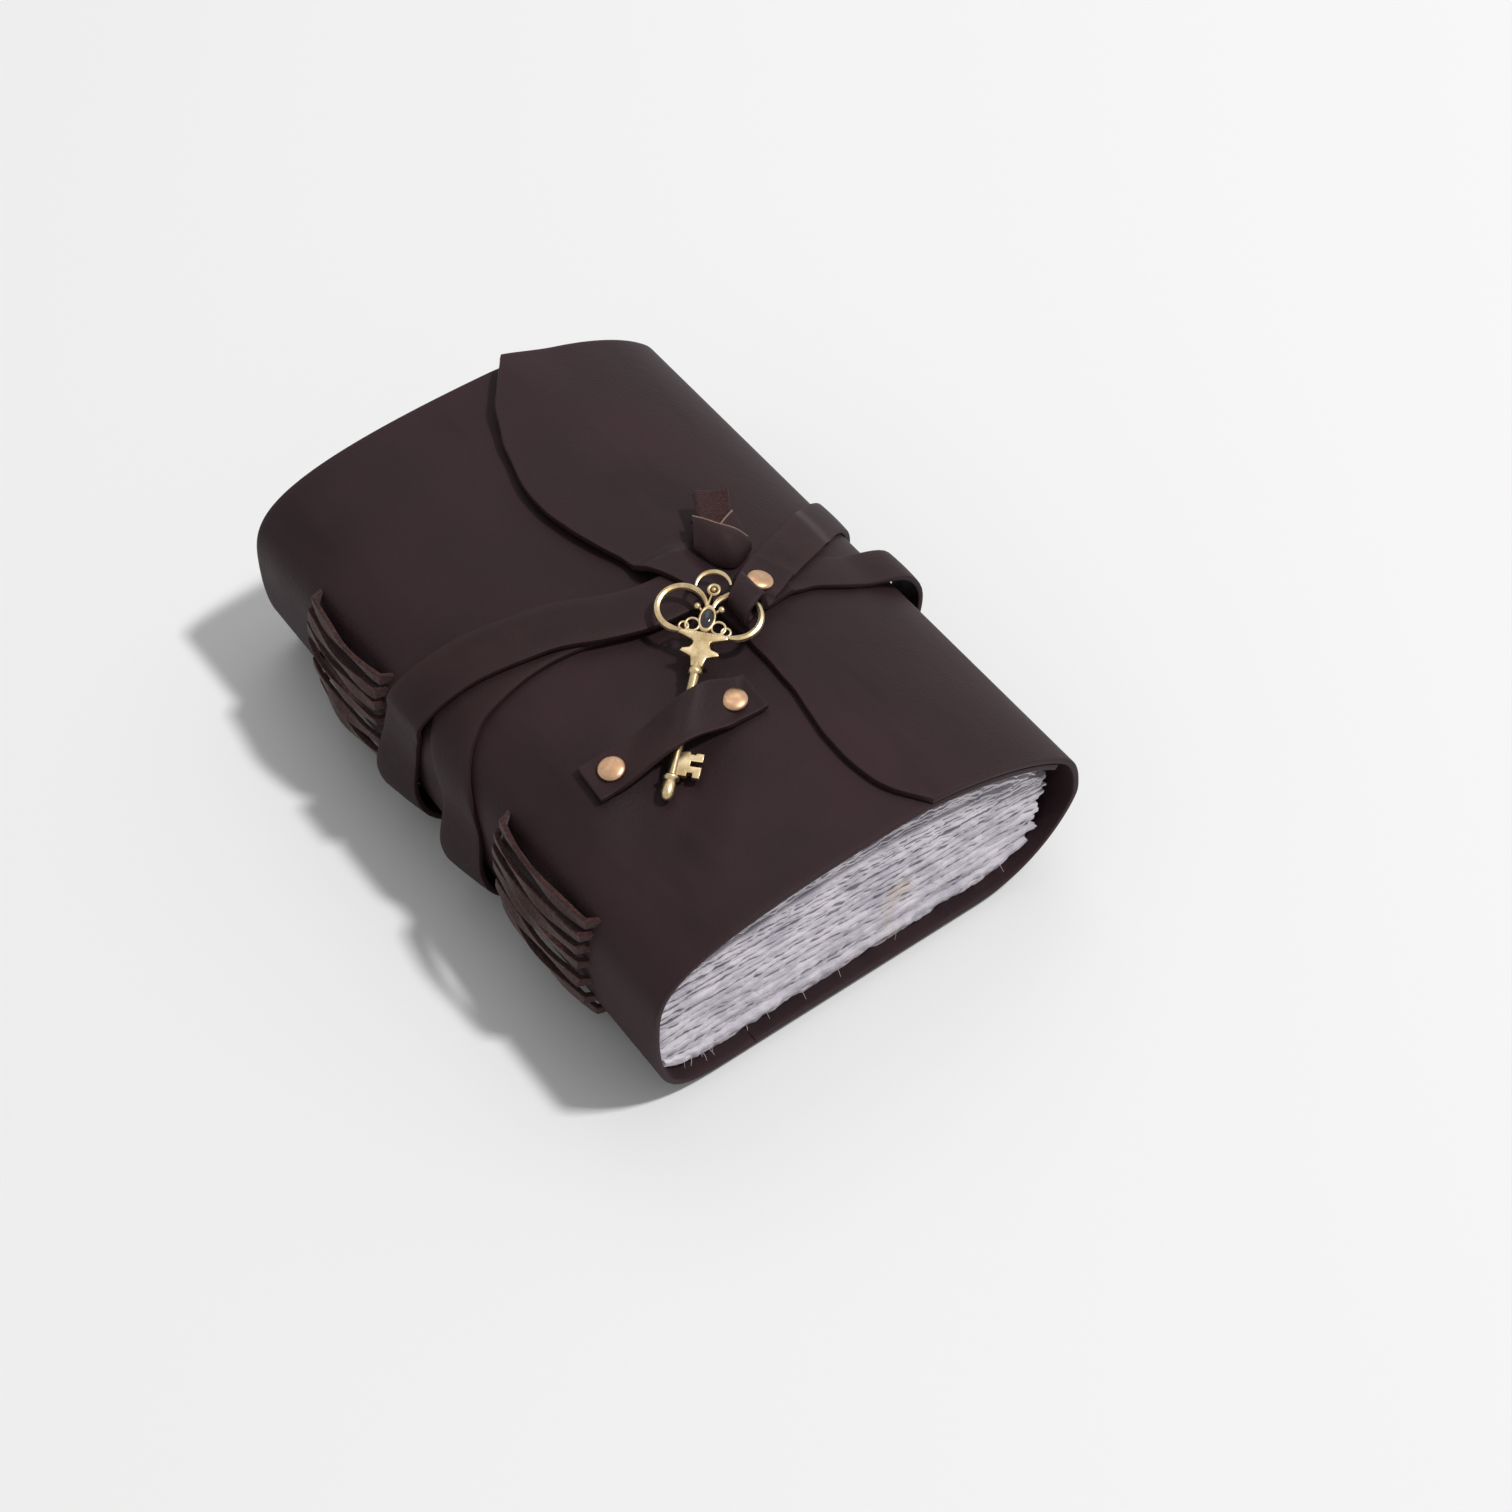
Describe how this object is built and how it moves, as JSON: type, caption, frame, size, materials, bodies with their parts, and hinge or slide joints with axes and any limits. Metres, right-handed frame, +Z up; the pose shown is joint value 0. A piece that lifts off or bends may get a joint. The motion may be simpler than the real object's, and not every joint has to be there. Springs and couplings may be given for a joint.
{
  "type": "leather notebook",
  "caption": "Soft leather notebook with a wrap-round flap, strap turns, a key clasp under a riveted tab, and deckle-edged pages sewn through the spine.",
  "frame": {"origin": "under the middle of the whole object, on the plane it rests on", "axes": "+X from the spine to the fore-edge, +Y along the spine away from the viewer's near end, +Z up"},
  "size_m": [0.1418, 0.184, 0.0761],
  "materials": {
    "cover_leather": "dark brown pull-up leather, satin with rubbed high spots",
    "spine_leather": "darker, smoother leather over the spine and back",
    "raw_leather": "raw reddish edge and flesh side of cut thong",
    "paper": "matte handmade paper with a torn deckle edge",
    "copper_rivets": "polished copper-coloured domed caps",
    "key_brass": "antique brass, dark in the hollows",
    "black_stone": "polished black oval"
  },
  "bodies": {
    "book": {"cover_back_spine": "spine_leather", "signature_1": "paper", "signature_2": "paper", "signature_3": "paper", "signature_4": "paper", "signature_5": "paper", "signature_6": "paper", "signature_7": "paper", "thong_near_1": "raw_leather", "thong_near_2": "raw_leather", "thong_near_3": "raw_leather", "thong_near_4": "raw_leather", "thong_near_5": "raw_leather", "thong_near_6": "raw_leather", "thong_near_7": "raw_leather", "thong_far_1": "raw_leather", "thong_far_2": "raw_leather", "thong_far_3": "raw_leather", "thong_far_4": "raw_leather", "thong_far_5": "raw_leather", "thong_far_6": "raw_leather", "thong_far_7": "raw_leather", "strap_far_turn": "cover_leather", "strap_near_turn": "cover_leather"},
    "front_cover": {"cover_front": "cover_leather", "key_tab": "cover_leather", "tab_rivet_post_left": "copper_rivets", "tab_rivet_post_right": "copper_rivets", "tab_rivet_cap_left": "copper_rivets", "tab_rivet_cap_right": "copper_rivets", "key_loop": "cover_leather", "loop_rivet_post": "copper_rivets", "loop_rivet_cap": "copper_rivets"},
    "flap": {"cover_flap": "cover_leather", "strap_knot": "cover_leather"},
    "leaf_1": {"front_leaf_1": "paper"},
    "leaf_2": {"front_leaf_2": "paper"},
    "leaf_3": {"front_leaf_3": "paper"},
    "key": {"key": "key_brass", "key_stone": "black_stone"}
  },
  "joints": [
    {"name": "cover_hinge", "type": "hinge", "parent": "book", "child": "front_cover", "pos_m": [-0.0531, 0, 0.0566], "axis": [0, -1, 0], "range_deg": [0, 165], "deforming": ["strap_far_turn", "strap_near_turn"]},
    {"name": "flap_hinge", "type": "hinge", "parent": "book", "child": "flap", "pos_m": [0.0667, 0, 0.0317], "axis": [0, 1, 0], "range_deg": [0, 162], "deforming": ["cover_flap", "strap_knot"]},
    {"name": "leaf_1_hinge", "type": "hinge", "parent": "book", "child": "leaf_1", "pos_m": [-0.0426, 0, 0.0547], "axis": [0, -1, 0], "range_deg": [0, 141]},
    {"name": "leaf_2_hinge", "type": "hinge", "parent": "book", "child": "leaf_2", "pos_m": [-0.0408, 0, 0.0543], "axis": [0, -1, 0], "range_deg": [0, 119]},
    {"name": "leaf_3_hinge", "type": "hinge", "parent": "book", "child": "leaf_3", "pos_m": [-0.039, 0, 0.0538], "axis": [0, -1, 0], "range_deg": [0, 100]},
    {"name": "key_slide", "type": "slide", "parent": "front_cover", "child": "key", "axis": [0.7223, 0.6596, 0.2079], "range_m": [0, 0.006], "deforming": ["key_loop", "key_tab"]}
  ],
  "couplings": [
    {"joint": "flap_hinge", "follows": "cover_hinge", "ratio": 0.98},
    {"joint": "leaf_1_hinge", "follows": "cover_hinge", "ratio": 0.85},
    {"joint": "leaf_2_hinge", "follows": "cover_hinge", "ratio": 0.72},
    {"joint": "leaf_3_hinge", "follows": "cover_hinge", "ratio": 0.6}
  ]
}
